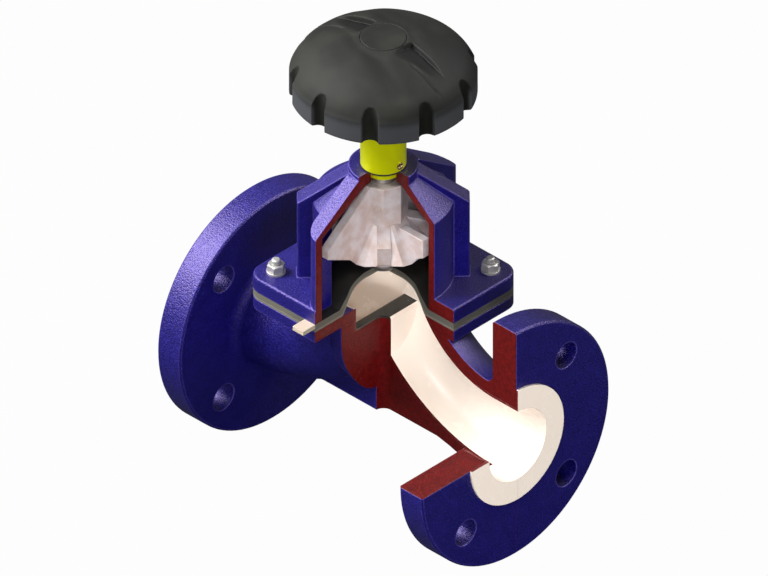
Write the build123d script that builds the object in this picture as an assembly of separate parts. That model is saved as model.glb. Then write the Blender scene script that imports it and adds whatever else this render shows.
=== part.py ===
"""Weir-type diaphragm valve, DN 50, flanged, cut open as a demonstration piece.

The pipe runs along X and the stem along Z. Everything is drawn about the point where the pipe
axis meets the stem axis, and is lifted by the flange radius when it is written, so that the
flange rims touch z = 0. The quarter x > 0, y < 0 is cut out of the bonnet, the diaphragm and
the body; the outlet flange loses only its upper half of that quarter.
"""
import os
from math import cos, pi, radians, sin

from build123d import *

# Pipe flanges and passage
FACE_TO_FACE = 230.0
FLANGE_D = 165.0
FLANGE_T = 20.0
FLANGE_EDGE = 1.2
BOLT_EDGE = 20.0
FLANGE_HOLE_D = 18.0
FLANGE_HOLES = 4
BORE_D = 50.0
BEND_R = 95.0
BEND_INSET = 1.5
ARM_INSET = 5.0
WALL = 10.0
NECK_FILLET = 6.0

# Lining
LINING_T = 1.5
LINING_FACE_D = 81.0

# Weir and the seat that the diaphragm is clamped on
WEIR_T = 13.0
OVERLAP = 1.0
CREST_Z = 42.5
CREST_ROUND = 2.0
CHANNEL_PLAY = 1.0
SEAT_Z = 58.3

# Body flange, belly and keel
SQUARE = 120.0
SQUARE_CORNER = 12.0
BODY_FLANGE_T = 8.0
BELLY_HALF = 36.8
BELLY_BOTTOM = -10.0
BELLY_Z = 43.0
BELLY_FLAT_DEG = 3.0
KEEL_T = 12.0
KEEL_FLAT_Z = -27.0
KEEL_FLAT_X = 46.0
KEEL_END_Z = -37.0

# Diaphragm: a rubber backing on a facing layer, domed up in the open position
RIM_T = 5.7
BACKING_SHARE = 0.7
CROWN_Z = 81.0
CROWN_T = 4.4
CROWN_R = 18.0
SHOULDER_R = 27.0
SHOULDER_DROP = 3.4
FLANK_R = 32.8
FLANK_DROP = 10.7
DOME_FOOT_R = 38.4
DOME_WALL = 3.0
SHOULDER_WALL = (1.8, 3.5)
FLANK_WALL = (2.7, 2.2)
RIM_JOIN = 3.0
TAB_W = 18.0
TAB_REACH = 10.5
TAB_T = 3.0
STUD_HEAD_R = 8.0
STUD_HEAD_T = 2.0
STUD_D = 8.0
STUD_L = 14.7

# Bonnet
BONNET_FLANGE_T = 10.0
SHELL_R = 43.4
SHELL_WALL = 4.7
EAVE_Z = 130.4
EAVE_STEP = 2.0
GUIDE_REACH = 59.5
GUIDE_WALL = 5.5
GUIDE_HALF_W = 10.0
GUIDE_SIDE_WALL = 2.6
GUIDE_EAVE_Z = 126.5
GUIDE_TOP_Z = 152.3
ROOF_TOP_R = 21.5
ROOF_TOP_Z = 148.6
NECK_TOP_Z = 155.0
CEILING_R = 14.0
CEILING_Z = 146.8
RIB_T = 12.5
RIB_OUT = 53.0
RIB_EAVE_Z = 129.5
RIB_TOP_R = 21.5
RIB_TOP_Z = 151.5
CAST_ROUND = 1.5

# Bonnet bolting
BOLT_SPACING = 93.0
BOLT_D = 6.0
BOLT_HOLE_D = 6.8
NUT_AF = 10.0
NUT_H = 5.0
BOLT_HEAD_H = 4.0
WASHER_D = 12.0
WASHER_T = 1.6
BOLT_END = 3.4
BOLT_ROUND = 1.5
NUT_BEVEL = 0.4
WASHER_PLAY = 0.2

# Stem: bush, spindle and seals
BUSH_R = 14.2
BUSH_TOP_Z = 198.0
SPIGOT_R = 11.0
SPIGOT_END_Z = 150.0
GASKET_T = 1.2
STEM_D = 16.0
STEM_GAP = 0.06
PLUG_D = 4.8
PLUG_L = 4.5
PLUG_UP = 3.6
PLUG_PROUD = 0.6
PLUG_SLOT = 0.8
SEAL_D = 2.4
SEAL_GROOVE_R = 11.0
SEAL_Z = 192.0

# Compressor: an octagonal hub on a fluted skirt, with fins along Y, along X and on the diagonals
HUB_AF = 28.0
COMP_TOP_Z = 145.2
SHOULDER_Z = 118.0
SKIRT_Z = 99.0
SKIRT_DEG = (0, 14, 24, 36, 45)
SKIRT_REACH = (31.0, 33.0, 33.2, 31.0, 30.0)
SHOULDER_DEG = (0, 20, 28, 38, 45)
PRESSER_R = 6.5
GUIDE_FIN_T = 6.0
GUIDE_FIN_REACH = 52.0
GUIDE_FIN_TIP_Z = 115.5
GUIDE_FIN_TIP_H = 5.5
FLOW_FIN_T = 5.5
FLOW_FIN_REACH = 36.6
FLOW_FIN_TOP_Z = 115.6
FLOW_FIN_TIP_H = 12.6
CORNER_FIN_T = 8.3
CORNER_FIN_REACH = 31.5
CORNER_FIN_TIP_Z = 113.0
CORNER_FIN_TIP_H = 12.2
SOCKET_Z = 122.0
PIN_Z = 130.0
PIN_D = 3.0
PIN_L = 13.0
PIN_BITE = 1.5

# Handwheel: a domed section in shares of its radius, at depths below its top
TRAVEL = 34.0
ROOF_GAP = 2.5
HEAD_T = 15.5
WHEEL_R = 57.9
WHEEL_H = 40.8
RIM_H = 15.8
DOME_SHARE = (0.9, 0.78, 0.6, 0.35)
DOME_DEPTH = (15.5, 10.0, 5.5, 2.0)
WHEEL_WALL = 4.0
WHEEL_EDGE = 1.0
GRIPS = 10
GRIP_W = 10.4
GRIP_DEPTH = 5.4
FIRST_GRIP = -18.0
RIM_WALL = 9.0
WHEEL_RIB_T = 3.0
WHEEL_RIB_UP = 4.0
HUB_R = 20.0
HUB_PLAY = 1.0
HUB_DROP = 17.2
CAP_R = 14.4
CAP_T = 2.0
TROUGH_R = 10.0
TROUGH_DEPTH = 4.2
TROUGH_END_DROP = 7.0
TROUGH_SHIFT = 2.5
INSERT_R = 11.0
INSERT_T = 5.5
DRIVE_W = 10.0
WHEEL_NUT_AF = 13.0
WHEEL_NUT_H = 4.0
WHEEL_THREAD_D = 8.0
NUT_FLOOR_T = 1.5
THREAD_END = 0.6
NUT_POCKET_R = 9.0

# Clearances
MOVING_GAP = 0.3
SEATED_GAP = 0.02

# Derived values
FLANGE_R = FLANGE_D / 2
FACE_X = FACE_TO_FACE / 2
END_X = FACE_X - LINING_T
FLANGE_BACK_X = END_X - FLANGE_T
BEND_X = FLANGE_BACK_X + BEND_INSET
BORE_R = BORE_D / 2
CHANNEL_W = BORE_D - 2 * CHANNEL_PLAY
STEM_R = STEM_D / 2
WEIR_HALF = WEIR_T / 2
RIM_TOP = SEAT_Z + RIM_T
BONNET_TOP = RIM_TOP + BONNET_FLANGE_T
BODY_FLANGE_Z = SEAT_Z - BODY_FLANGE_T
CAVITY_R = SHELL_R - SHELL_WALL
BUSH_SEAT_Z = NECK_TOP_Z + GASKET_T
PRESS_Z = CROWN_Z + MOVING_GAP
STUD_HEAD_Z = PRESS_Z - STUD_HEAD_T
STUD_TOP_Z = STUD_HEAD_Z + STUD_L
GROOVE_R = STEM_R - PIN_BITE - MOVING_GAP
PIN_X = STEM_R - PIN_BITE + PIN_D / 2
HUB_ROOF_Z = BUSH_TOP_Z + TRAVEL + ROOF_GAP
WHEEL_TOP_Z = HUB_ROOF_Z + HEAD_T
WHEEL_Z = WHEEL_TOP_Z - WHEEL_H
RIM_TOP_Z = WHEEL_Z + RIM_H
HUB_END_Z = WHEEL_Z - HUB_DROP
HUB_BORE_R = BUSH_R + HUB_PLAY
NUT_FLOOR_Z = HUB_ROOF_Z + INSERT_T + NUT_FLOOR_T
WHEEL_THREAD_TOP = NUT_FLOOR_Z + WASHER_T + WHEEL_NUT_H + THREAD_END
REACH_ALL = 400.0
BOLT_PLACES = [(BOLT_SPACING / 2 * a, BOLT_SPACING / 2 * b) for a, b in ((-1, -1), (-1, 1), (1, 1))]


def box(x0, x1, y0, y1, z0, z1):
    """Box between two corners."""
    return Pos((x0 + x1) / 2, (y0 + y1) / 2, (z0 + z1) / 2) * Box(x1 - x0, y1 - y0, z1 - z0)


def rod(radius, z0, z1, x=0.0, y=0.0):
    """Upright cylinder between two heights."""
    return Pos(x, y, (z0 + z1) / 2) * Cylinder(radius, z1 - z0)


def pipe(radius, x0, x1):
    """Cylinder along the pipe axis."""
    return Pos((x0 + x1) / 2, 0, 0) * Rot(0, 90, 0) * Cylinder(radius, x1 - x0)


def turned(points):
    """Closed outline of (radius, height) points turned about the stem axis."""
    face = Plane.XZ * make_face(Polyline(*points, close=True))
    return revolve(face, Axis.Z)


def slab(points, thickness, plane=Plane.XZ):
    """Closed outline in an upright plane, thickened equally to both sides."""
    return extrude(plane * make_face(Polyline(*points, close=True)), thickness / 2, both=True)


def quarter_cut(corner=0.0):
    """The quarter that is cut away, with its inner upright corner rounded."""
    cut = box(0, REACH_ALL, -REACH_ALL, 0, -REACH_ALL, REACH_ALL)
    if corner > 0:
        cut = fillet(cut.edges().filter_by(Axis.Z).sort_by_distance((0, 0, 0))[0], corner)
    return cut


def hexagon(across_flats, z0, z1, x=0.0, y=0.0):
    """Hexagonal prism."""
    outline = RegularPolygon(across_flats / 2, 6, major_radius=False)
    return Pos(x, y, z0) * extrude(outline, z1 - z0)


def square_plate(z0, z1):
    """Square plate with round corners, as the body flange, diaphragm and bonnet share."""
    return Pos(0, 0, z0) * extrude(RectangleRounded(SQUARE, SQUARE, SQUARE_CORNER), z1 - z0)


def bent_pipe(radius, end_x):
    """One arm of the passage: straight from the flange, then bent up towards the seat."""
    circle = Plane(origin=(BEND_X, 0, 0), x_dir=(0, 1, 0), z_dir=(1, 0, 0)) * Circle(radius)
    bend = revolve(circle, Axis((BEND_X, 0, BEND_R), (0, 1, 0)), 89.0)
    if bend.center().X > BEND_X:
        bend = revolve(circle, Axis((BEND_X, 0, BEND_R), (0, -1, 0)), 89.0)
    return bend + pipe(radius, BEND_X, end_x)


def weir(grow):
    """Wall across the passage, with its crest edges rounded."""
    half = WEIR_HALF - grow
    wall = box(-half, half, -SQUARE / 2, SQUARE / 2, BELLY_BOTTOM, CREST_Z - grow)
    return fillet(wall.edges().filter_by(Axis.Y).sort_by(Axis.Z)[-2:], CREST_ROUND)


def passage(grow, end_x):
    """The flow space, grown outwards by the lining: two bent arms joined over the weir."""
    room = box(0, REACH_ALL, -REACH_ALL, REACH_ALL, -REACH_ALL, SEAT_Z + 1)
    arm = bent_pipe(BORE_R + grow, end_x) & room
    half_w = CHANNEL_W / 2 + grow
    half_t = WEIR_HALF + OVERLAP
    over = box(-half_t, half_t, -half_w, half_w, CREST_Z - grow - OVERLAP, SEAT_Z + OVERLAP)
    return arm + arm.mirror(Plane.YZ) + over - weir(grow)


def flange_holes(x0, x1):
    """Bolt holes of one pipe flange, straddling the centre lines."""
    step = 2 * pi / FLANGE_HOLES
    angles = [step * (k + 0.5) for k in range(FLANGE_HOLES)]
    radius = FLANGE_R - BOLT_EDGE
    return [Pos(0, radius * cos(a), radius * sin(a)) * pipe(FLANGE_HOLE_D / 2, x0, x1) for a in angles]


def pipe_flange():
    """Pipe flange at the outlet end, with its rim edges eased."""
    disc = pipe(FLANGE_R, FLANGE_BACK_X, END_X)
    disc = chamfer(disc.edges().filter_by(GeomType.CIRCLE), FLANGE_EDGE)
    return disc - flange_holes(FLANGE_BACK_X - 1, END_X + 1)


def body_side():
    """Half of the body: bent tube and pipe flange, with a fillet where they meet."""
    room = box(0, REACH_ALL, -REACH_ALL, REACH_ALL, -REACH_ALL, SEAT_Z - 1)
    arm = bent_pipe(BORE_R + WALL, END_X - ARM_INSET) & room
    side = arm + pipe_flange()
    foot = [edge for edge in side.edges().filter_by(GeomType.CIRCLE, reverse=True)
            if abs(edge.center().X - FLANGE_BACK_X) < 0.01]
    return fillet(foot, NECK_FILLET)


def cut_body(solid):
    """Take the display cut out of a piece that belongs to the body."""
    behind = box(-REACH_ALL, FLANGE_BACK_X, -REACH_ALL, REACH_ALL, -REACH_ALL, REACH_ALL)
    front = quarter_cut(corner=WEIR_HALF) & behind
    flange = box(FLANGE_BACK_X - 1, REACH_ALL, -REACH_ALL, 0, 0, REACH_ALL)
    return solid - front - flange


def keel():
    """Rib along the bottom of the body, from flange to flange."""
    end = FLANGE_BACK_X + 1
    return slab([(-end, 0), (-end, KEEL_END_Z), (-KEEL_FLAT_X, KEEL_FLAT_Z),
                 (KEEL_FLAT_X, KEEL_FLAT_Z), (end, KEEL_END_Z), (end, 0)], KEEL_T)


def belly():
    """Rounded underside below the weir, with a small flat where the keel hides it."""
    depth = BELLY_Z - BELLY_BOTTOM
    top = SEAT_Z - 1
    turns = [radians(BELLY_FLAT_DEG + (90 - BELLY_FLAT_DEG) * k / 3) for k in range(4)]
    curve = [(BELLY_HALF * sin(t), BELLY_Z - depth * cos(t)) for t in turns]
    foot = curve[0]
    outline = Spline(*curve, tangents=((1, 0), (0, 1)))
    outline += Polyline(curve[-1], (BELLY_HALF, top), (0, top), (0, foot[1]), foot)
    return revolve(Plane.XZ * make_face(outline), Axis.Z)


def bolt_holes(z0, z1):
    """Holes for the bonnet bolts through one layer of the joint."""
    half = BOLT_SPACING / 2
    places = [(half * a, half * b) for a in (-1, 1) for b in (-1, 1)]
    return [rod(BOLT_HOLE_D / 2, z0 - 1, z1 + 1, x, y) for x, y in places]


def body_casting():
    """Cast body: pipe flanges, bent tubes, weir, keel and the square flange of the seat."""
    side = body_side()
    plate = square_plate(BODY_FLANGE_Z, SEAT_Z)
    body = side + side.mirror(Plane.YZ) + belly() + keel() + plate
    body = body - passage(LINING_T, FACE_X + 1) - bolt_holes(BODY_FLANGE_Z, SEAT_Z)
    return cut_body(body)


def body_lining():
    """Lining of the passage, turned out over both pipe faces."""
    ring = pipe(LINING_FACE_D / 2, END_X, FACE_X)
    lining = passage(LINING_T, FACE_X) + ring + ring.mirror(Plane.YZ) - passage(0, FACE_X + 1)
    above = box(-REACH_ALL, REACH_ALL, -REACH_ALL, REACH_ALL, SEAT_Z, REACH_ALL)
    return cut_body(lining - above)


def dome_points(depth):
    """Points of the dome's section at a share of its thickness, crown edge to foot."""
    outer = [(CROWN_R, CROWN_Z), (SHOULDER_R, CROWN_Z - SHOULDER_DROP),
             (FLANK_R, CROWN_Z - FLANK_DROP), (DOME_FOOT_R, RIM_TOP)]
    inner = [(CROWN_R, CROWN_Z - CROWN_T),
             (SHOULDER_R - SHOULDER_WALL[0], CROWN_Z - SHOULDER_DROP - SHOULDER_WALL[1]),
             (FLANK_R - FLANK_WALL[0], CROWN_Z - FLANK_DROP - FLANK_WALL[1]),
             (DOME_FOOT_R - DOME_WALL, SEAT_Z)]
    return [(a[0] + depth * (b[0] - a[0]), a[1] + depth * (b[1] - a[1])) for a, b in zip(outer, inner)]


def dome_line(depth):
    """Smooth line through the dome's points, level at the crown and at the rim."""
    return Spline(*dome_points(depth), tangents=((1, 0), (1, -0.25)))


def diaphragm_layer(top, bottom):
    """One layer of the diaphragm between two shares of its thickness, whole and uncut."""
    upper, lower = dome_points(top), dome_points(bottom)
    z_top, z_bottom = RIM_TOP - top * RIM_T, RIM_TOP - bottom * RIM_T
    join_r = DOME_FOOT_R + RIM_JOIN
    outline = Line((0, upper[0][1]), upper[0]) + dome_line(top)
    outline += Polyline(upper[-1], (join_r, z_top), (join_r, z_bottom), lower[-1])
    outline += dome_line(bottom)
    outline += Polyline(lower[0], (0, lower[0][1]), (0, upper[0][1]))
    dome = revolve(Plane.XZ * make_face(outline), Axis.Z)
    rim = square_plate(z_bottom, z_top) - rod(join_r - OVERLAP, z_bottom - OVERLAP, z_top + OVERLAP)
    return rim + dome - bolt_holes(z_bottom, z_top)


def diaphragm_backing():
    """Rubber backing, with a pocket in the crown for the head of the diaphragm stud."""
    pocket = rod(STUD_HEAD_R + MOVING_GAP, STUD_HEAD_Z - MOVING_GAP, CROWN_Z + 1)
    return diaphragm_layer(0, BACKING_SHARE) - pocket - quarter_cut()


def diaphragm_face():
    """Facing layer on the flow side."""
    return diaphragm_layer(BACKING_SHARE, 1) - quarter_cut()


def diaphragm_tab():
    """Identification tab on the edge of the diaphragm."""
    y0 = -SQUARE / 2
    return box(-TAB_W / 2, TAB_W / 2, y0 - TAB_REACH, y0, RIM_TOP - TAB_T, RIM_TOP) - quarter_cut()


def diaphragm_stud():
    """Stud moulded for the diaphragm's crown, screwed up into the compressor."""
    head = rod(STUD_HEAD_R, STUD_HEAD_Z, STUD_HEAD_Z + STUD_HEAD_T)
    return head + rod(STUD_D / 2, STUD_HEAD_Z, STUD_TOP_Z)


def guide_block(reach, half_w, base_z, eave_z, top_r, top_z):
    """Upright slot with round ends along Y under a sloping roof."""
    outline = [(-reach, base_z), (-reach, eave_z), (-top_r, top_z),
               (top_r, top_z), (reach, eave_z), (reach, base_z)]
    ends = Rot(0, 0, 90) * SlotOverall(2 * reach, 2 * half_w)
    return slab(outline, 2 * half_w, Plane.YZ) & (Pos(0, 0, base_z) * extrude(ends, top_z))


def corner_ribs():
    """Four upright ribs on the diagonals, sloping up to the neck."""
    outline = [(0, RIM_TOP), (RIB_OUT, RIM_TOP), (RIB_OUT, RIB_EAVE_Z), (RIB_TOP_R, RIB_TOP_Z),
               (0, RIB_TOP_Z)]
    rib = fillet(slab(outline, RIB_T).edges().filter_by(Axis.Z).group_by(Axis.X)[-1], CAST_ROUND)
    return [Rot(0, 0, 45 + 90 * k) * rib for k in range(4)]


def bonnet_casting():
    """Cast bonnet: square flange, round shell, two guides, corner ribs, roof and neck."""
    flange = square_plate(RIM_TOP, BONNET_TOP)
    top_edges = flange.edges().group_by(Axis.Z)[-1]
    flange = fillet(top_edges, CAST_ROUND)
    shell = turned([(0, RIM_TOP), (SHELL_R, RIM_TOP), (SHELL_R, EAVE_Z), (ROOF_TOP_R, ROOF_TOP_Z),
                    (ROOF_TOP_R, NECK_TOP_Z), (0, NECK_TOP_Z)])
    guides = guide_block(GUIDE_REACH, GUIDE_HALF_W, RIM_TOP, GUIDE_EAVE_Z, ROOF_TOP_R, GUIDE_TOP_Z)
    outside = flange + shell + guides + corner_ribs()
    cavity = turned([(0, RIM_TOP - 1), (CAVITY_R, RIM_TOP - 1), (CAVITY_R, EAVE_Z - EAVE_STEP),
                     (CEILING_R, CEILING_Z), (0, CEILING_Z)])
    slots = guide_block(GUIDE_REACH - GUIDE_WALL, GUIDE_HALF_W - GUIDE_SIDE_WALL, RIM_TOP - 1,
                        GUIDE_EAVE_Z - EAVE_STEP / 2, CEILING_R, CEILING_Z)
    bore = rod(SPIGOT_R + SEATED_GAP, CEILING_Z - 1, NECK_TOP_Z + 1)
    return outside - cavity - slots - bore - bolt_holes(RIM_TOP, BONNET_TOP) - quarter_cut()


def bonnet_bolts():
    """Hexagon bolts put in from below; the one in the cut quarter is gone."""
    end = BONNET_TOP + WASHER_T + NUT_H + BOLT_END
    bolts = []
    for x, y in BOLT_PLACES:
        shank = rod(BOLT_D / 2, BODY_FLANGE_Z - 1, end, x, y)
        shank = fillet(shank.edges().sort_by(Axis.Z)[-1], BOLT_ROUND)
        bolts.append(shank + hexagon(NUT_AF, BODY_FLANGE_Z - BOLT_HEAD_H, BODY_FLANGE_Z, x, y))
    return Compound(children=bolts)


def ring_at(outer_r, inner_r, z0, z1, x, y):
    """Flat ring, such as a washer."""
    return rod(outer_r, z0, z1, x, y) - rod(inner_r, z0 - 1, z1 + 1, x, y)


def bonnet_washers():
    """Washers on the bonnet flange."""
    inner = BOLT_D / 2 + WASHER_PLAY
    return Compound(children=[ring_at(WASHER_D / 2, inner, BONNET_TOP, BONNET_TOP + WASHER_T, x, y)
                              for x, y in BOLT_PLACES])


def bonnet_nuts():
    """Nuts on the bonnet bolts, with chamfered upper corners."""
    z0 = BONNET_TOP + WASHER_T
    nuts = []
    for x, y in BOLT_PLACES:
        cone = Pos(x, y, z0) * turned([(0, 0), (NUT_AF / 2 + NUT_H, 0), (NUT_AF / 2 - NUT_BEVEL, NUT_H),
                                       (0, NUT_H)])
        nut = hexagon(NUT_AF, z0, z0 + NUT_H, x, y) & cone
        nuts.append(nut - rod(BOLT_D / 2 + SEATED_GAP, z0 - 1, z0 + NUT_H + 1, x, y))
    return Compound(children=nuts)


def spindle_bush():
    """Threaded bush in the neck: it carries the spindle and shows how far the valve is open."""
    bore = STEM_R + STEM_GAP
    body = turned([(bore, SPIGOT_END_Z), (SPIGOT_R, SPIGOT_END_Z), (SPIGOT_R, BUSH_SEAT_Z),
                   (BUSH_R, BUSH_SEAT_Z), (BUSH_R, BUSH_TOP_Z - 1), (BUSH_R - 1, BUSH_TOP_Z),
                   (bore, BUSH_TOP_Z)])
    groove = ring_at(SEAL_GROOVE_R, STEM_R - 1, SEAL_Z - SEAL_D * 0.6, SEAL_Z + SEAL_D * 0.6, 0, 0)
    plug = pipe(PLUG_D / 2 + SEATED_GAP, BUSH_R - PLUG_L, BUSH_R + 1)
    return body - groove - Pos(0, 0, BUSH_SEAT_Z + PLUG_UP) * plug


def bush_gasket():
    """Flat gasket between the bush's shoulder and the neck."""
    return ring_at(BUSH_R, SPIGOT_R + SEATED_GAP, NECK_TOP_Z, BUSH_SEAT_Z, 0, 0)


def grease_plug():
    """Small plug in the side of the bush, where its thread is greased."""
    plug = pipe(PLUG_D / 2, BUSH_R - PLUG_L, BUSH_R + PLUG_PROUD)
    slot = box(BUSH_R, BUSH_R + 1, -PLUG_D, PLUG_D, -PLUG_SLOT / 2, PLUG_SLOT / 2)
    return Pos(0, 0, BUSH_SEAT_Z + PLUG_UP) * (plug - slot)


def stem_seal():
    """Ring seal round the spindle, in its groove in the bush."""
    return Pos(0, 0, SEAL_Z) * Torus(STEM_R + MOVING_GAP + SEAL_D / 2, SEAL_D / 2)


def spindle():
    """Stem: a groove for the compressor pins, a long thread, a square and a threaded end."""
    foot = SOCKET_Z + MOVING_GAP
    low, high = PIN_Z - PIN_D / 2 - MOVING_GAP, PIN_Z + PIN_D / 2 + MOVING_GAP
    stem = turned([(0, foot), (STEM_R - 1, foot), (STEM_R, foot + 1), (STEM_R, low), (GROOVE_R, low),
                   (GROOVE_R, high), (STEM_R, high), (STEM_R, HUB_ROOF_Z), (0, HUB_ROOF_Z)])
    drive = box(-DRIVE_W / 2, DRIVE_W / 2, -DRIVE_W / 2, DRIVE_W / 2, HUB_ROOF_Z, HUB_ROOF_Z + INSERT_T)
    return stem + drive + rod(WHEEL_THREAD_D / 2, HUB_ROOF_Z + INSERT_T, WHEEL_THREAD_TOP)


def compressor_pins():
    """Two pins across the compressor's hub that hold the spindle by its groove."""
    pin = Rot(90, 0, 0) * Cylinder(PIN_D / 2, PIN_L)
    return Compound(children=[Pos(side * PIN_X, 0, PIN_Z) * pin for side in (-1, 1)])


def skirt_outline(z, angles, reaches):
    """Closed outline at one height, from one eighth of a turn of points that is mirrored round."""
    eighth = list(zip(angles, reaches))
    quarter = eighth + [(90 - a, r) for a, r in reversed(eighth[1:-1])]
    turn = [(radians(a + 90 * k), r) for k in range(4) for a, r in quarter]
    return make_face(Polyline(*[(r * cos(a), r * sin(a), z) for a, r in turn], close=True))


def skirt():
    """Fluted skirt, ruled from the foot of the octagonal hub down to a wavy edge."""
    half = HUB_AF / 2
    hub_reach = [half / cos(radians(a if a < 22.5 else 45 - a)) for a in SHOULDER_DEG]
    return loft([skirt_outline(SKIRT_Z, SKIRT_DEG, SKIRT_REACH),
                 skirt_outline(SHOULDER_Z, SHOULDER_DEG, hub_reach)], ruled=True)


def fin(reach, tip_top, tip_height, root_top, thickness):
    """Upright fin of the compressor along X, from the stem axis out to its tip."""
    return slab([(0, SKIRT_Z), (SKIRT_REACH[-1], SKIRT_Z), (reach, tip_top - tip_height),
                 (reach, tip_top), (HUB_AF / 2, root_top), (0, root_top)], thickness)


def compressor():
    """Pressing piece: octagonal hub, fluted skirt, tall guide fins, low flow and corner fins."""
    hub = Pos(0, 0, SKIRT_Z) * extrude(RegularPolygon(HUB_AF / 2, 8, major_radius=False),
                                       COMP_TOP_Z - SKIRT_Z)
    guide = fin(GUIDE_FIN_REACH, GUIDE_FIN_TIP_Z, GUIDE_FIN_TIP_H, COMP_TOP_Z, GUIDE_FIN_T)
    flow = fin(FLOW_FIN_REACH, FLOW_FIN_TOP_Z, FLOW_FIN_TIP_H, FLOW_FIN_TOP_Z, FLOW_FIN_T)
    corner = fin(CORNER_FIN_REACH, CORNER_FIN_TIP_Z, CORNER_FIN_TIP_H, SHOULDER_Z, CORNER_FIN_T)
    fins = [Rot(0, 0, 90 + 180 * k) * guide for k in range(2)]
    fins += [Rot(0, 0, 180 * k) * flow for k in range(2)]
    fins += [Rot(0, 0, 45 + 90 * k) * corner for k in range(4)]
    socket = rod(STEM_R + STEM_GAP, SOCKET_Z, COMP_TOP_Z + 1)
    stud = rod(STUD_D / 2 + SEATED_GAP, PRESS_Z - 1, STUD_TOP_Z + 1)
    holes = [Pos(side * PIN_X, 0, PIN_Z) * Rot(90, 0, 0) * Cylinder(PIN_D / 2 + SEATED_GAP, 3 * PIN_L)
             for side in (-1, 1)]
    return hub + skirt() + rod(PRESSER_R, PRESS_Z, SKIRT_Z + 1) + fins - socket - stud - holes


def wheel_profile():
    """Outside of the handwheel's dome, from the rim's top edge to the middle."""
    steps = [(WHEEL_R * share, WHEEL_TOP_Z - depth) for share, depth in zip(DOME_SHARE, DOME_DEPTH)]
    return [(WHEEL_R, RIM_TOP_Z), *steps, (0, WHEEL_TOP_Z)]


def handwheel():
    """Moulded handwheel: domed top, gripped rim, hub tube and ribs underneath."""
    dome = wheel_profile()
    inner = [(max(r - WHEEL_WALL, 0), z - WHEEL_WALL) for r, z in dome]
    rim_in = WHEEL_R - RIM_WALL
    outline = Polyline((rim_in, WHEEL_Z), (WHEEL_R - WHEEL_EDGE, WHEEL_Z),
                       (WHEEL_R, WHEEL_Z + WHEEL_EDGE), dome[0])
    outline += Spline(*dome, tangents=((-0.4, 1), (-1, 0)))
    under = [p for p in inner if p[0] < rim_in]
    outline += Polyline(dome[-1], under[-1])
    outline += Spline(*reversed(under), tangents=((1, 0), (1, -0.8)))
    outline += Polyline(under[0], (rim_in, under[0][1] - 2), (rim_in, WHEEL_Z))
    wheel = revolve(Plane.XZ * make_face(outline), Axis.Z)
    hub = rod(HUB_R, HUB_END_Z, WHEEL_TOP_Z - WHEEL_WALL)
    rib = box(HUB_R - OVERLAP, rim_in + OVERLAP, -WHEEL_RIB_T / 2, WHEEL_RIB_T / 2,
              WHEEL_Z + WHEEL_RIB_UP, RIM_TOP_Z + OVERLAP)
    ribs = [Rot(0, 0, 360 / GRIPS * k) * rib for k in range(GRIPS)]
    wheel = wheel + hub + ribs
    ball = WHEEL_R + GRIP_W / 2 - GRIP_DEPTH
    for k in range(GRIPS):
        angle = radians(FIRST_GRIP + 360 / GRIPS * k)
        x, y = ball * cos(angle), ball * sin(angle)
        wheel = wheel - rod(GRIP_W / 2, WHEEL_Z - 1, WHEEL_TOP_Z, x, y)
    wheel = wheel - trough() - trough().mirror(Plane.YZ)
    wheel = wheel - rod(HUB_BORE_R, HUB_END_Z - 1, HUB_ROOF_Z)
    wheel = wheel - rod(INSERT_R + SEATED_GAP, HUB_ROOF_Z - 1, HUB_ROOF_Z + INSERT_T)
    wheel = wheel - rod(WHEEL_THREAD_D / 2 + WASHER_PLAY, HUB_ROOF_Z, WHEEL_TOP_Z)
    wheel = wheel - rod(NUT_POCKET_R, NUT_FLOOR_Z, WHEEL_TOP_Z + 1)
    return wheel - rod(CAP_R + SEATED_GAP, WHEEL_TOP_Z - CAP_T, WHEEL_TOP_Z + 1)


def trough():
    """Finger hollow in the wheel's top, from beside the cap out to the shoulder."""
    start = (CAP_R + 1, WHEEL_TOP_Z + TROUGH_R - TROUGH_DEPTH)
    end = (WHEEL_R, WHEEL_TOP_Z - TROUGH_END_DROP)
    length = ((end[0] - start[0]) ** 2 + (end[1] - start[1]) ** 2) ** 0.5
    line = Plane(origin=(start[0], TROUGH_SHIFT, start[1]), z_dir=(end[0] - start[0], 0, end[1] - start[1]))
    return extrude(line * Circle(TROUGH_R), length)


def wheel_insert():
    """Metal insert in the hub that takes the spindle's square."""
    disc = rod(INSERT_R, HUB_ROOF_Z, HUB_ROOF_Z + INSERT_T)
    half = DRIVE_W / 2 + SEATED_GAP
    return disc - box(-half, half, -half, half, HUB_ROOF_Z - 1, HUB_ROOF_Z + INSERT_T + 1)


def wheel_washer():
    """Washer under the wheel nut."""
    inner = WHEEL_THREAD_D / 2 + WASHER_PLAY
    return ring_at(NUT_POCKET_R - 1, inner, NUT_FLOOR_Z, NUT_FLOOR_Z + WASHER_T, 0, 0)


def wheel_nut():
    """Thin nut that holds the wheel on the spindle."""
    z0 = NUT_FLOOR_Z + WASHER_T
    nut = hexagon(WHEEL_NUT_AF, z0, z0 + WHEEL_NUT_H)
    return nut - rod(WHEEL_THREAD_D / 2 + SEATED_GAP, z0 - 1, z0 + WHEEL_NUT_H + 1)


def wheel_cap():
    """Round cap over the wheel nut."""
    cap = rod(CAP_R, WHEEL_TOP_Z - CAP_T, WHEEL_TOP_Z)
    return chamfer(cap.edges().group_by(Axis.Z)[-1], CAP_T / 5)


NODES = [body_casting, body_lining, bonnet_casting, diaphragm_backing, diaphragm_face, diaphragm_tab,
         diaphragm_stud, bonnet_bolts, bonnet_washers, bonnet_nuts, spindle_bush, bush_gasket,
         grease_plug, stem_seal, spindle, compressor_pins, compressor, handwheel, wheel_insert,
         wheel_washer, wheel_nut, wheel_cap]


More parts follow.
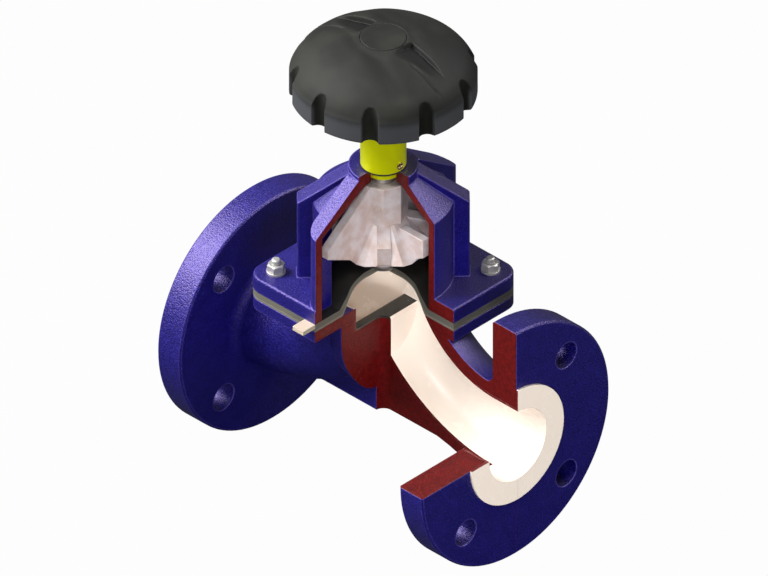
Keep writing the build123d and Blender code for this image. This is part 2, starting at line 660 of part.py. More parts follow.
def main():
    """Write each node, lifted so that the flange rims stand at z = 0."""
    os.makedirs("parts", exist_ok=True)
    for make in NODES:
        export_step(Pos(0, 0, FLANGE_R) * make(), f"parts/{make.__name__}.step")


main()
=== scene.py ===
"""Looks of a flanged weir-type diaphragm valve, cut open as a demonstration piece."""
import math

import bmesh
import bpy
import numpy as np
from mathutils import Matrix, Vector


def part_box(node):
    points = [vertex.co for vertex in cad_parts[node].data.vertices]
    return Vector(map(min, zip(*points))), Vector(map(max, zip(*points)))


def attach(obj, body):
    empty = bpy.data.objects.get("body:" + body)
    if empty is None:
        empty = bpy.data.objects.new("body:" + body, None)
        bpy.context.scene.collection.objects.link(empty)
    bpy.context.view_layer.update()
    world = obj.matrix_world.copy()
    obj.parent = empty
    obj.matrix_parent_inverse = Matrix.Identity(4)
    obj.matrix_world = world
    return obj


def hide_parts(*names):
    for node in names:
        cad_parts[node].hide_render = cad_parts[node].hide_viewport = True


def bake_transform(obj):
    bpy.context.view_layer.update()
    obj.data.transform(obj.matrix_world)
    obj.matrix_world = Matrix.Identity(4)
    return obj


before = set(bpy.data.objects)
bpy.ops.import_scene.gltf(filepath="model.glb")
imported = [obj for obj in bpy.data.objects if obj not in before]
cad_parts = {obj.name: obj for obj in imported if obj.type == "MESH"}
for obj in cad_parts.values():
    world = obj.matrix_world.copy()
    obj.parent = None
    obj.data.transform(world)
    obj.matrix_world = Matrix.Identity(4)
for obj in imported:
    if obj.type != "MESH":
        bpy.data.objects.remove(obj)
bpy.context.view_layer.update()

MM = 0.001
FLANGE_LOW, FLANGE_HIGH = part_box("body_casting")
PIPE_Z = FLANGE_LOW.z + (FLANGE_HIGH.y - FLANGE_LOW.y) / 2


def mm(x, y, z):
    """A point given in millimetres from the crossing of pipe axis and stem axis."""
    return Vector((x * MM, y * MM, PIPE_Z + z * MM))


# Sizes of the pieces made here, in millimetres about the pipe axis
SQUARE_HALF = 60.0
SQUARE_CORNER = 12.0
SEAT_Z = 58.3
RIM_TOP = 64.0
BACKING_SHARE = 0.7
DOME_OUTSIDE = [(0, 81), (10, 81), (18, 81), (27, 77.6), (32.8, 70.3), (38.4, 64.1), (41, 64)]
DOME_INSIDE = [(0, 76.6), (10, 76.6), (18, 76.6), (25.2, 74.08), (30.1, 68.1), (35.4, 58.4), (38, 58.3)]

# Handwheel: section in (radius, height), from the cap's seat over the dome, rim and hub
CROWN = [(14.45, 248.0), (14.45, 249.2), (14.9, 249.75), (20, 249.0), (27, 247.3), (35, 244.7),
         (42, 241.3), (48, 237.4), (52.1, 234.0), (55.3, 229.9), (57.2, 226.4)]
RIM = [(57.9, 224.8), (57.9, 217), (57.9, 210.4), (57.5, 209.5), (56.7, 209.2), (50, 209.2),
       (49.2, 209.6), (48.9, 210.4)]
UNDERSIDE = [(48.9, 218), (48.9, 226), (47, 229.6), (42, 233.6), (35, 237.6), (27, 240.4),
             (20.8, 241.6), (20, 240.5)]
HUB = [(20, 225), (20, 208), (20, 192.8), (19.3, 192), (16, 192), (15.2, 192.8), (15.2, 210),
       (15.2, 225), (15.2, 234.5), (8.2, 234.5), (8.2, 241), (8.2, 247.6)]
RIM_STEPS = 26
CROWN_STEPS = 72
TURN_STEPS = 720
GRIPS = 10
FIRST_GRIP = -18.0
GRIP_R = 5.2
GRIP_CENTRE = 57.7
TROUGH_DEPTH = 4.2
TROUGH_FROM, TROUGH_TO = 14.9, 50.0
TROUGH_EDGE, TROUGH_EDGE_END = 9.6, 6.4
TROUGH_WIDTH, TROUGH_WIDTH_END = 18.0, 3.0
NOTCH_DEPTH = 0.9
VALLEY_DEPTH = 1.3
VALLEY_WIDTH = 5.5
VALLEY_OFF, VALLEY_SLOPE = 14.0, -0.3

# Heads of the cross pins in the compressor's octagonal hub
PIN_X, PIN_Z, PIN_HEAD_R, PIN_SIDES = 8.0, 130.0, 1.6, 16
HUB_SLANT = 19.8

# How much of the white backdrop shows in reflections
MIRRORED_BACKDROP = 0.06


class Field:
    """A number that varies over a surface: arithmetic on it adds Math nodes."""

    def __init__(self, coat, socket):
        self.coat = coat
        self.socket = socket

    def __add__(self, other):
        return self.coat.math("ADD", self, other)

    def __sub__(self, other):
        return self.coat.math("SUBTRACT", self, other)

    def __rsub__(self, other):
        return self.coat.math("SUBTRACT", other, self)

    def __mul__(self, other):
        return self.coat.math("MULTIPLY", self, other)

    def __truediv__(self, other):
        return self.coat.math("DIVIDE", self, other)

    def __pow__(self, other):
        return self.coat.math("POWER", self, other)

    def __lt__(self, other):
        return self.coat.math("LESS_THAN", self, other)

    def __gt__(self, other):
        return self.coat.math("GREATER_THAN", self, other)

    def __abs__(self):
        return self.coat.math("ABSOLUTE", self)

    __radd__ = __add__
    __rmul__ = __mul__


class NodeTree:
    """A node tree that formulas are written into."""

    def __init__(self, tree):
        self.tree = tree

    def feed(self, socket, value):
        """Link a field to a socket, or set a plain value on it."""
        if isinstance(value, Field):
            self.tree.links.new(value.socket, socket)
        elif isinstance(value, tuple) and socket.type == "RGBA":
            socket.default_value = (*value[:3], 1.0)
        else:
            socket.default_value = value

    def node(self, kind, settings=None, inputs=None, output=0):
        """Add one node: its settings first, then its inputs, and give one of its outputs."""
        made = self.tree.nodes.new(kind)
        for key, value in (settings or {}).items():
            setattr(made, key, value)
        for key, value in (inputs or {}).items():
            self.feed(made.inputs[key], value)
        return Field(self, made.outputs[output])

    def math(self, operation, *values):
        """One Math node."""
        return self.node("ShaderNodeMath", {"operation": operation}, dict(enumerate(values)))


class Coat(NodeTree):
    """A material being made: its nodes and its main shader."""

    def __init__(self, name):
        self.material = bpy.data.materials.new(name)
        self.material.use_nodes = True
        super().__init__(self.material.node_tree)
        self.shader = self.tree.nodes["Principled BSDF"]
        self.place = self.node("ShaderNodeTexCoord", output="Object")
        self.x, self.y, self.z = (self.node("ShaderNodeSeparateXYZ", inputs={0: self.place}, output=k)
                                  for k in range(3))

    def mix(self, factor, first, second):
        """Colour mix."""
        return self.node("ShaderNodeMix", {"data_type": "RGBA"}, {0: factor, 6: first, 7: second}, 2)

    def noise(self, scale, detail=2.0, roughness=0.5, stretch=(1, 1, 1), distortion=0.0):
        """Noise from 0 to 1, with this many waves per metre."""
        place = self.place
        if stretch != (1, 1, 1):
            place = self.node("ShaderNodeVectorMath", {"operation": "MULTIPLY"}, {0: place, 1: stretch})
        return self.node("ShaderNodeTexNoise", {}, {"Vector": place, "Scale": scale, "Detail": detail,
                                                    "Roughness": roughness, "Distortion": distortion})

    def ramp(self, value, low, high):
        """Smooth step from 0 at low to 1 at high."""
        settings = {"interpolation_type": "SMOOTHSTEP"}
        return self.node("ShaderNodeMapRange", settings, {0: value, 1: low, 2: high})

    def rounded(self, radius):
        """Surface normal with its edges eased by a small radius."""
        return self.node("ShaderNodeBevel", {"samples": 6}, {"Radius": radius})

    def off_stem(self):
        """Distance from the stem axis."""
        return self.math("SQRT", self.x ** 2 + self.y ** 2)

    def edge(self, radius):
        """Mask that is 1 along edges, from how far the eased normal leans from the true one."""
        true = self.node("ShaderNodeNewGeometry", output="True Normal")
        lean = self.node("ShaderNodeVectorMath", {"operation": "DOT_PRODUCT"},
                         {0: self.rounded(radius), 1: true}, "Value")
        return self.ramp(1 - lean, 0.02, 0.2)

    def bump(self, height, distance, strength=1.0, normal=None):
        """Bump from a height field, on an eased normal where one is given."""
        inputs = {"Height": height, "Distance": distance, "Strength": strength}
        if normal is not None:
            inputs["Normal"] = normal
        return self.node("ShaderNodeBump", {}, inputs)

    def blend(self, factor, first, second):
        """Show one shader or the other, by a factor, and give the material."""
        mixed = self.node("ShaderNodeMixShader", inputs={0: factor, 1: first, 2: second})
        self.feed(self.tree.nodes["Material Output"].inputs["Surface"], mixed)
        return self.material

    def finish(self, **sockets):
        """Set the main shader's sockets and give the material."""
        for key, value in sockets.items():
            self.feed(self.shader.inputs[key.replace("_", " ")], value)
        return self.material


def cut_mask(coat):
    """1 on the faces that the display cut left: the planes x = 0 and y = 0, the rounded inner
    corner between them, the ledge through the outlet flange and the flange's back beside the bore."""
    near = 0.00006
    corner = 0.0065
    ledge_from, flange_back, casting_bore = 0.09, 0.0935, 0.036
    x, y, z = coat.x, coat.y, coat.z
    upright = (abs(x) < near) * (y < near) + (abs(y) < near) * (x > -near)
    reach = coat.math("SQRT", (x - corner) ** 2 + (y + corner) ** 2)
    inner = (abs(reach - corner) < near) * (x < corner) * (y > -corner)
    ledge = (abs(z - PIPE_Z) < near) * (x > ledge_from) * (y < near)
    back = (abs(x - flange_back) < near) * (y < near) * (z < PIPE_Z)
    bore = coat.math("SQRT", y ** 2 + (z - PIPE_Z) ** 2) < casting_bore
    return coat.math("MINIMUM", upright + inner + ledge + back * bore, 1.0)


def cast_paint():
    """Blue enamel on rough casting, dark red on the cut faces, and painted highlights in lilac on the
    grain's peaks and along the edges.
    """
    coat = Coat("cast_paint")
    cut = cut_mask(coat)
    grain = coat.noise(900.0, 2.0, 0.5)
    coarse = coat.noise(120.0, 2.0)
    streaks = coat.noise(300.0, 2.0, 0.6)
    edge = coat.edge(0.002)
    blue = coat.mix(coat.ramp(grain, 0.35, 0.7), (0.0015, 0.0008, 0.062), (0.003, 0.002, 0.110))
    blue = coat.mix(coat.ramp(coarse, 0.4, 0.75) * 0.3, blue, (0.008, 0.006, 0.140))
    # painted highlight: a lilac tint on the peaks of the grain
    blue = coat.mix(coat.ramp(grain, 0.5, 0.7) * 0.2, blue, (0.030, 0.023, 0.19))
    # painted highlight: paler lilac along the edges
    blue = coat.mix(edge * 0.6, blue, (0.12, 0.09, 0.42))
    red = coat.mix(coat.ramp(streaks, 0.3, 0.7), (0.062, 0.002, 0.002), (0.100, 0.003, 0.003))
    height = grain * (1 - cut * 0.55) + streaks * cut * 0.5
    normal = coat.bump(height, 0.0006, 0.8, coat.rounded(0.0012))
    rough = 0.43 + coat.ramp(grain, 0.3, 0.8) * 0.12
    coat.finish(Base_Color=blue, Roughness=rough, Normal=normal, Specular_IOR_Level=0.9,
                Specular_Tint=(0.62, 0.50, 1.0))
    cut_paint = coat.node("ShaderNodeBsdfPrincipled", inputs={
        "Base Color": red, "Roughness": 0.45, "Normal": normal, "Specular IOR Level": 0.22}, output="BSDF")
    return coat.blend(cut, Field(coat, coat.shader.outputs["BSDF"]), cut_paint)


def smooth_plastic(name, colour, warm, rough, cut_colour, inside=1.0, crest_shade=0.0):
    """Plain moulded finish with faint mottling, and another colour where the display cut runs
    and farther from the stem axis than the given radius. The crest shade darkens the flat top
    of the weir under the diaphragm's dome: painted shade."""
    coat = Coat(name)
    cloud = coat.noise(60.0, 3.0)
    fine = coat.noise(900.0, 2.0)
    tint = coat.mix(coat.ramp(cloud, 0.3, 0.75) * 0.1, colour, warm)
    tint = coat.mix(coat.math("MAXIMUM", cut_mask(coat), coat.off_stem() > inside), tint, cut_colour)
    if crest_shade:
        # painted shade: the flat top of the weir under the dome is darkened
        crest_shade_mask = (abs(coat.x) < 0.0055) * (abs(coat.y) < 0.024) * (coat.z > PIPE_Z + 0.038)
        tint = coat.mix(crest_shade_mask * crest_shade, tint, (0.020, 0.021, 0.019))
    normal = coat.bump(fine, 0.00005, 0.4, coat.rounded(0.0004))
    return coat.finish(Base_Color=tint, Roughness=rough + cloud * 0.06, Normal=normal)


def wheel_plastic():
    """Dark grey moulded plastic, finely grained and dull: painted shade in the finger hollows,
    painted light on the skirt of the rim between the grips, painted highlights along the edges."""
    coat = Coat("grey_plastic")
    cloud = coat.noise(30.0, 3.0)
    fine = coat.noise(1500.0, 2.0)
    tint = coat.mix(coat.ramp(cloud, 0.35, 0.65), (0.005, 0.0056, 0.0042), (0.013, 0.0138, 0.0108))
    along = (abs(coat.x) / MM - TROUGH_FROM) / (TROUGH_TO - TROUGH_FROM)
    share = coat.math("MAXIMUM", along, 0.0)
    edge = TROUGH_EDGE + share ** 2 * (TROUGH_EDGE_END - TROUGH_EDGE)
    width = TROUGH_WIDTH + share ** 1.5 * (TROUGH_WIDTH_END - TROUGH_WIDTH)
    across = (edge - coat.y / MM) / width
    # painted shade: the finger hollows are darkened
    hollow_shade = coat.ramp(across, -0.02, 0.06) * (1 - coat.ramp(across, 0.7, 1.0))
    hollow_shade = hollow_shade * coat.ramp(along, 0.0, 0.03) * (1 - coat.ramp(along, 0.6, 0.95))
    tint = coat.mix(hollow_shade * 0.95, tint, (0.001, 0.001, 0.0008))
    # painted light: the rim's skirt between the grips is made paler
    skirt = 1 - coat.ramp(coat.z, PIPE_Z + 0.219, PIPE_Z + 0.228)
    skirt = skirt * coat.ramp(coat.off_stem(), 0.055, 0.0575)
    tint = coat.mix(skirt, tint, (0.036, 0.037, 0.041))
    # painted highlight: paler along the edges
    tint = coat.mix(coat.edge(0.0009) * 0.4, tint, (0.05, 0.052, 0.05))
    normal = coat.bump(fine, 0.00006, 0.5, coat.rounded(0.0007))
    return coat.finish(Base_Color=tint, Roughness=0.64 + cloud * 0.14, Normal=normal,
                       Specular_IOR_Level=0.22)


def rubber():
    """Grey-brown rubber, matt and slightly dusty; its main tint is darkened near black as painted shade for
    the rubber inside the bonnet, paler grey on the cut faces and the outer edge.
    """
    coat = Coat("grey_rubber")
    cloud = coat.noise(90.0, 3.0)
    fine = coat.noise(1300.0, 2.0)
    # near-black main tint: painted shade for the rubber inside the bonnet
    tint = coat.mix(coat.ramp(cloud, 0.3, 0.7), (0.009, 0.008, 0.007), (0.016, 0.015, 0.012))
    tint = coat.mix(coat.off_stem() > 0.0595, tint, (0.085, 0.081, 0.063))
    tint = coat.mix(cut_mask(coat), tint, (0.075, 0.071, 0.058))
    normal = coat.bump(fine, 0.00008, 0.6)
    return coat.finish(Base_Color=tint, Roughness=0.6 + cloud * 0.12, Normal=normal)


def metal(name, colour, second, rough, rings=0.0, metallic=1.0):
    """Bare metal with turning marks or a satin cast skin, and painted highlights along the edges."""
    coat = Coat(name)
    cloud = coat.noise(110.0, 3.0)
    marks = coat.noise(600.0, 2.0, stretch=(0.2, 0.2, 3.0) if rings else (1, 1, 1))
    tint = coat.mix(coat.ramp(cloud, 0.3, 0.7), colour, second)
    # painted highlight: brighter along the edges
    tint = coat.mix(coat.edge(0.0007) * 0.6, tint, tuple(min(1.0, c * 1.25 + 0.1) for c in colour))
    normal = coat.bump(marks, 0.00006 + rings * 0.00005, 0.5, coat.rounded(0.0006))
    return coat.finish(Base_Color=tint, Roughness=rough + cloud * 0.12, Metallic=metallic, Normal=normal)


def as_grid(points, close_u, close_v):
    """Faces of a grid of points, whose rows and columns may close on themselves."""
    rows, columns = points.shape[:2]
    i = np.arange(rows if close_u else rows - 1)
    j = np.arange(columns if close_v else columns - 1)
    a, b = np.meshgrid(i, j, indexing="ij")
    c, d = (a + 1) % rows, (b + 1) % columns
    return np.stack([a * columns + b, c * columns + b, c * columns + d, a * columns + d], -1).reshape(-1, 4)


def add_mesh(name, points, faces, material, smooth_angle=math.radians(40)):
    """A mesh object from millimetre points about the pipe axis, with doubles merged."""
    flat = np.asarray(points, float).reshape(-1, 3) * MM + np.array([0, 0, PIPE_Z])
    mesh = bpy.data.meshes.new(name)
    mesh.from_pydata(flat.tolist(), [], [list(face) for face in faces])
    made = bpy.data.objects.new(name, mesh)
    bpy.context.scene.collection.objects.link(made)
    close_up(made, smooth_angle)
    mesh.materials.append(material)
    return made


def close_up(made, smooth_angle):
    """Merge doubles, turn faces outwards and shade smooth up to an angle."""
    work = bmesh.new()
    work.from_mesh(made.data)
    bmesh.ops.remove_doubles(work, verts=work.verts, dist=1e-6)
    bmesh.ops.recalc_face_normals(work, faces=work.faces)
    for face in work.faces:
        face.smooth = True
    for edge in work.edges:
        if len(edge.link_faces) == 2:
            edge.smooth = edge.calc_face_angle() < smooth_angle
    work.to_mesh(made.data)
    work.free()


def smooth_line(points, count):
    """Points along a curve through the given ones: a cubic between each pair, whose slope at a
    point is that of the line through its two neighbours, spaced evenly by length."""
    p = np.array(points, float)
    ends = np.vstack([2 * p[0] - p[1], p, 2 * p[-1] - p[-2]])
    slope = (ends[2:] - ends[:-2]) / 2
    t = np.linspace(0, 1, 24, endpoint=False)[:, None]
    pieces = []
    for a, b, m, n in zip(p[:-1], p[1:], slope[:-1], slope[1:]):
        limit = np.linalg.norm(b - a)
        m = m * min(1.0, limit / max(np.linalg.norm(m), 1e-9))
        n = n * min(1.0, limit / max(np.linalg.norm(n), 1e-9))
        pieces.append((2 * t ** 3 - 3 * t ** 2 + 1) * a + (t ** 3 - 2 * t ** 2 + t) * m
                      + (3 * t ** 2 - 2 * t ** 3) * b + (t ** 3 - t ** 2) * n)
    line = np.vstack(pieces + [p[-1:]])
    along = np.concatenate([[0], np.cumsum(np.linalg.norm(np.diff(line, axis=0), axis=1))])
    even = np.linspace(0, along[-1], count)
    return np.stack([np.interp(even, along, line[:, k]) for k in range(2)], -1)


def square_reach(angle):
    """Distance from the stem axis to the edge of the square plate with round corners."""
    c, s = np.abs(np.cos(angle)), np.abs(np.sin(angle))
    reach = SQUARE_HALF / np.maximum(c, s)
    middle = SQUARE_HALF - SQUARE_CORNER
    beyond = np.minimum(reach * c, reach * s) > middle
    along = middle * (c + s)
    across = 2 * middle ** 2 - SQUARE_CORNER ** 2
    corner = along + np.sqrt(np.maximum(along ** 2 - across, 0))
    return np.where(beyond, corner, reach)


def diaphragm_sheet(name, top, bottom, material):
    """One layer of the diaphragm over three quarters of a turn. Its section is a line from the
    crown to the rim, at a share of the thickness between the dome's outside and inside; beyond
    the dome's foot it runs flat out to the square edge. The two lines are joined all round."""
    turns = np.radians(np.unique(np.concatenate([np.linspace(0, 270, 181), np.arange(45, 270, 90)])))
    outer, inner = smooth_line(DOME_OUTSIDE, 60), smooth_line(DOME_INSIDE, 60)
    lines = []
    for share in (top, bottom):
        dome = outer + share * (inner - outer)
        share_out = np.linspace(0, 1, 12)[1:]
        flat_z = RIM_TOP - share * (RIM_TOP - SEAT_Z)
        foot = dome[-1]
        reach = foot[0] + share_out[None, :] * (square_reach(turns)[:, None] - foot[0])
        r = np.concatenate([np.repeat(dome[None, :, 0], len(turns), 0), reach], 1)
        z = np.concatenate([np.repeat(dome[None, :, 1], len(turns), 0), np.full(reach.shape, flat_z)], 1)
        lines.append((r, z))
    r = np.concatenate([lines[0][0], lines[1][0][:, ::-1]], 1)
    z = np.concatenate([lines[0][1], lines[1][1][:, ::-1]], 1)
    points = np.stack([r * np.cos(turns)[:, None], r * np.sin(turns)[:, None], z], -1)
    faces = as_grid(points, False, True)
    columns = points.shape[1]
    i = np.arange(columns // 2 - 1)
    strip = np.stack([i, i + 1, columns - 2 - i, columns - 1 - i], -1)
    last = (len(turns) - 1) * columns
    faces = np.concatenate([faces, strip, last + strip[:, ::-1]])
    return add_mesh(name, points, faces, material)


def grip_limit(angle):
    """Radius where the grip grooves begin: a ray from the stem axis meets the nearest of ten
    upright cylinders round the rim at c cos(a) - sqrt(r^2 - c^2 sin(a)^2)."""
    step = 2 * math.pi / GRIPS
    off = (angle - math.radians(FIRST_GRIP) + step / 2) % step - step / 2
    inside = GRIP_R ** 2 - (GRIP_CENTRE * np.sin(off)) ** 2
    near = GRIP_CENTRE * np.cos(off) - np.sqrt(np.maximum(inside, 0))
    return np.where(inside > 0, near, 1e3)


def ease(share):
    """Smooth step of a share from 0 to 1."""
    share = np.clip(share, 0, 1)
    return share * share * (3 - 2 * share)


def hollow_drop(x, y):
    """Depth of the relief in the wheel's top: two finger hollows along X, each deepest at a sharp
    edge on its +Y side and running out to -Y; a fine groove beside each; and a shallow valley on
    either side of the cap, whose section is a bell curve about a slanting line."""
    along = (np.abs(x) - TROUGH_FROM) / (TROUGH_TO - TROUGH_FROM)
    share = np.clip(along, 0, 1)
    edge = TROUGH_EDGE + (TROUGH_EDGE_END - TROUGH_EDGE) * share ** 2
    width = TROUGH_WIDTH + (TROUGH_WIDTH_END - TROUGH_WIDTH) * share ** 1.5
    across = (edge - y) / width
    finger = ease(across / 0.07) * np.clip(1 - across, 0, 1) ** 0.8
    finger = finger * ease(along / 0.03) * ease((1 - along) / 0.55)
    line = -5.6 + 0.06 * (np.abs(x) - 28)
    groove = ease(1 - np.abs(y - line) / 1.5) * ease((np.abs(x) - 26) / 5) * ease((55 - np.abs(x)) / 6)
    valley = 0
    for side in (-1, 1):
        off = y - side * VALLEY_OFF - VALLEY_SLOPE * x
        valley = valley + np.exp(-(off / VALLEY_WIDTH) ** 2) * ease((np.hypot(x, y) - 14.9) / 6)
    fade = ease((54 - np.hypot(x, y)) / 10)
    return TROUGH_DEPTH * finger + NOTCH_DEPTH * groove + VALLEY_DEPTH * valley * fade * (1 - finger)


def wheel_body(material):
    """Handwheel: a closed section turned about the stem, with its outside pressed in at the grip
    grooves and its top lowered by the hollows."""
    section = np.vstack([smooth_line(CROWN[2:] + RIM[:1], CROWN_STEPS), smooth_line(RIM, RIM_STEPS)[1:],
                         smooth_line(UNDERSIDE, RIM_STEPS), np.array(HUB), np.array(CROWN[:2])])
    turns = np.linspace(0, 2 * math.pi, TURN_STEPS, endpoint=False)[:, None]
    place = np.arange(len(section))
    on_top = place < CROWN_STEPS
    outside = place < CROWN_STEPS + RIM_STEPS - 5
    r = np.broadcast_to(section[:, 0], (TURN_STEPS, len(section)))
    z = np.broadcast_to(section[:, 1], r.shape)
    r = np.where(outside, np.minimum(r, grip_limit(turns)), r)
    x, y = r * np.cos(turns), r * np.sin(turns)
    z = z - np.where(on_top, hollow_drop(x, y), 0)
    points = np.stack([x, y, z], -1)
    return add_mesh("wheel_body", points, as_grid(points, True, True), material, math.radians(32))


def wheel_ribs(material):
    """Ribs under the wheel between hub and rim. One outline in (radius, height) stands in ten
    upright planes a turn apart; each point is turned about the stem and pushed out by half the
    thickness to either side of its plane."""
    half_t = 1.5
    outline = np.array([(19.5, 213.2), (49.3, 213.2), (49.3, 228.0), (35, 238.2), (19.5, 241.8)])
    r, z = outline.T
    turn = (np.arange(GRIPS) * 2 * math.pi / GRIPS)[:, None, None]
    side = np.array([-half_t, half_t])[:, None]
    x = r * np.cos(turn) - side * np.sin(turn)
    y = r * np.sin(turn) + side * np.cos(turn)
    points = np.stack([x, y, np.broadcast_to(z, x.shape)], -1)
    n = len(outline)
    place = np.arange(n)
    following = (place + 1) % n
    base = (2 * n * np.arange(GRIPS))[:, None]
    ends = (base + place).tolist() + (base + n + place[::-1]).tolist()
    wall = np.stack([place, n + place, n + following, following], -1)
    walls = (base[:, :, None] + wall).reshape(-1, 4).tolist()
    return add_mesh("wheel_ribs", points, ends + walls, material, math.radians(30))


def pin_heads(material):
    """Flush heads of the compressor's cross pins: short plugs whose outer ends lie in the slanting
    faces of its hub, where the distances from both axes add up to a fixed number."""
    turn = np.arange(PIN_SIDES) * 2 * math.pi / PIN_SIDES
    points, faces = [], []
    for side_x in (-1, 1):
        for side_y in (-1, 1):
            x = side_x * PIN_X + PIN_HEAD_R * np.cos(turn)
            z = PIN_Z + PIN_HEAD_R * np.sin(turn)
            base = PIN_SIDES * len(points)
            for inset in (0.0, 0.8):
                points.append(np.stack([x, side_y * (HUB_SLANT - inset - np.abs(x)), z], -1))
            around = np.arange(PIN_SIDES)
            following = (around + 1) % PIN_SIDES
            wall = np.stack([around, following, PIN_SIDES + following, PIN_SIDES + around], -1)
            faces += (base + wall).tolist()
            faces += [(base + around).tolist(), (base + PIN_SIDES + around).tolist()]
    return add_mesh("pin_heads", np.concatenate(points), faces, material)


def shade_node(name, material):
    """Give a carried-over piece its finish."""
    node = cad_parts[name]
    node.data.materials.clear()
    node.data.materials.append(material)


def place_camera():
    """Parallel view from above the cut corner, as in the photograph."""
    azimuth, elevation = math.radians(44.176), math.radians(35.216)
    scale = 1.631
    width, height = 768, 576
    centre_px, centre_py = 383.35, 369.72
    back = Vector((math.sin(azimuth) * math.cos(elevation), -math.cos(azimuth) * math.cos(elevation),
                   math.sin(elevation)))
    camera = bpy.data.objects.new("camera", bpy.data.cameras.new("camera"))
    bpy.context.scene.collection.objects.link(camera)
    camera.rotation_euler = back.to_track_quat("Z", "Y").to_euler()
    right = Vector((math.cos(azimuth), math.sin(azimuth), 0))
    up = back.cross(right)
    shift = right * (width / 2 - centre_px) + up * (centre_py - height / 2)
    camera.location = mm(0, 0, 0) + shift * (MM / scale) + back * 2.0
    camera.data.type = "ORTHO"
    camera.data.ortho_scale = width / scale * MM
    camera.data.clip_end = 20.0
    bpy.context.scene.camera = camera
    return right, back


def hang_lamp(data, place, target):
    """Put a lamp at a place, turned to a point."""
    lamp = bpy.data.objects.new(data.name, data)
    bpy.context.scene.collection.objects.link(lamp)
    lamp.location = place
    lamp.rotation_euler = (place - target).to_track_quat("Z", "Y").to_euler()
    return lamp


def area_lamp(name, place, target, size, energy):
    """A soft square lamp that looks at a point."""
    data = bpy.data.lights.new(name, "AREA")
    data.size = size
    data.energy = energy
    return hang_lamp(data, place, target)


def light_studio(right, back):
    """Wide key from the upper left, a small lamp from above the camera, a rim lamp from the upper
    right, two low fills that leave no highlights, a narrow spot into the diaphragm's dome, and a
    backdrop that is white to the camera and dim in reflections."""
    target = mm(0, 0, 80)
    flat_back = Vector((back.x, back.y, 0)).normalized()
    top = Vector((0, 0, 1))
    area_lamp("key", target + (-right + top * 0.95 - flat_back * 0.05) * 1.3, target, 1.1, 100.0)
    area_lamp("main", target + (flat_back + top * 1.25 - right * 0.25) * 1.2, target, 0.4, 9.0)
    rim = area_lamp("rim", target + (right * 0.75 + top * 0.8 - flat_back * 0.15) * 1.4, target, 0.8, 30.0)
    rim.visible_diffuse = False
    front = area_lamp("front", target + (flat_back + top * 0.05) * 1.5, target, 0.5, 13.0)
    front.visible_glossy = False
    side = area_lamp("side", target + (flat_back * 0.7 + right * 0.75) * 1.5, target, 0.5, 10.0)
    side.visible_glossy = False
    spot = bpy.data.lights.new("dome_spot", "SPOT")
    spot.energy = 115.0
    spot.spot_size = math.radians(2.6)
    spot.spot_blend = 0.8
    spot.shadow_soft_size = 0.05
    dome = mm(-10, 10, 64)
    hang_lamp(spot, dome + (flat_back + top * 0.66) * 1.2, dome).visible_glossy = False
    world = bpy.data.worlds.new("studio")
    bpy.context.scene.world = world
    world.use_nodes = True
    sky = NodeTree(world.node_tree)
    camera, passing, mirrored = (sky.node("ShaderNodeLightPath", output=ray + " Ray")
                                 for ray in ("Is Camera", "Is Transmission", "Is Glossy"))
    seen = camera + passing + mirrored * MIRRORED_BACKDROP
    strength = sky.node("ShaderNodeMix", inputs={0: seen, 2: 0.14, 3: 1.0})
    backdrop = sky.tree.nodes["Background"]
    sky.feed(backdrop.inputs["Strength"], strength)
    sky.feed(backdrop.inputs["Color"], (1.0, 1.0, 1.0))


def lay_floor():
    """Pale floor under the flanges, white to the camera apart from a soft shadow."""
    half = 4.0
    mesh = bpy.data.meshes.new("floor")
    z = FLANGE_LOW.z
    corners = [(-half, -half, z), (half, -half, z), (half, half, z), (-half, half, z)]
    mesh.from_pydata(corners, [], [(0, 1, 2, 3)])
    floor = bpy.data.objects.new("floor", mesh)
    bpy.context.scene.collection.objects.link(floor)
    coat = Coat("floor")
    paths = coat.node("ShaderNodeLightPath", output="Is Camera Ray")
    white = coat.node("ShaderNodeEmission", inputs={"Color": (1.0, 1.0, 1.0), "Strength": 1.0})
    coat.finish(Base_Color=(0.02, 0.02, 0.02), Roughness=0.9)
    coat.blend(paths * 0.98, Field(coat, coat.shader.outputs["BSDF"]), white)
    mesh.materials.append(coat.material)


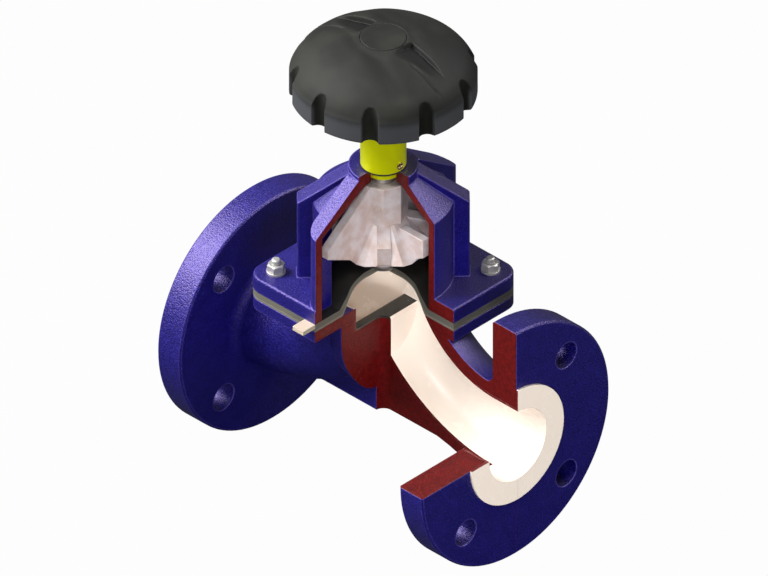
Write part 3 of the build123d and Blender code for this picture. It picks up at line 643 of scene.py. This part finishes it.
def dress():
    """Make every finish and piece, and fasten the pin heads and the wheel's pieces to their bodies."""
    paint = cast_paint()
    ivory = smooth_plastic("ivory_lining", (0.90, 0.79, 0.69), (0.92, 0.83, 0.75), 0.24,
                           (0.11, 0.004, 0.004), crest_shade=0.99)
    grey = (0.115, 0.108, 0.088)
    cream = smooth_plastic("cream_facing", (0.90, 0.78, 0.69), (0.94, 0.83, 0.75), 0.45, grey, 0.0595)
    tab = smooth_plastic("tab_plastic", (0.40, 0.32, 0.25), (0.44, 0.36, 0.29), 0.45, (0.3, 0.26, 0.2))
    yellow = metal("yellow_enamel", (0.90, 0.95, 0.002), (0.94, 0.99, 0.002), 0.3, metallic=0.68)
    dark = wheel_plastic()
    black = rubber()
    zinc = metal("zinc_plate", (0.33, 0.32, 0.31), (0.44, 0.43, 0.41), 0.4, metallic=0.6)
    steel = metal("turned_steel", (0.50, 0.48, 0.46), (0.62, 0.60, 0.57), 0.28, 1.0)
    satin = metal("satin_casting", (0.54, 0.42, 0.39), (0.66, 0.60, 0.61), 0.38, metallic=0.45)
    brass = metal("brass_plug", (0.30, 0.22, 0.08), (0.42, 0.30, 0.12), 0.3)
    finishes = {
        "body_casting": paint, "bonnet_casting": paint, "body_lining": ivory, "diaphragm_tab": tab,
        "diaphragm_stud": steel, "bonnet_bolts": zinc, "bonnet_washers": zinc, "bonnet_nuts": zinc,
        "spindle_bush": yellow, "bush_gasket": black, "grease_plug": brass, "stem_seal": black,
        "spindle": steel, "compressor_pins": steel, "compressor": satin, "wheel_insert": zinc,
        "wheel_washer": zinc, "wheel_nut": zinc, "wheel_cap": dark}
    for name, material in finishes.items():
        shade_node(name, material)

    backing = diaphragm_sheet("diaphragm_backing_sheet", 0.0, BACKING_SHARE, black)
    facing = diaphragm_sheet("diaphragm_face_sheet", BACKING_SHARE + 0.01, 1.0, cream)
    sheets = ((backing, "diaphragm_backing", "rubber"), (facing, "diaphragm_face", "facing"))
    for piece, node, slot in sheets:
        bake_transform(piece)
        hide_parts(node)

    heads = pin_heads(satin)
    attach(heads, "compressor")

    wheel = wheel_body(dark)
    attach(wheel, "handwheel")
    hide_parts("handwheel")
    ribs = wheel_ribs(dark)
    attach(ribs, "handwheel")


def main():
    """Dress the valve, and set the camera, lamps and floor."""
    dress()
    right, back = place_camera()
    light_studio(right, back)
    lay_floor()
    bpy.context.scene.view_settings.view_transform = "Standard"


main()
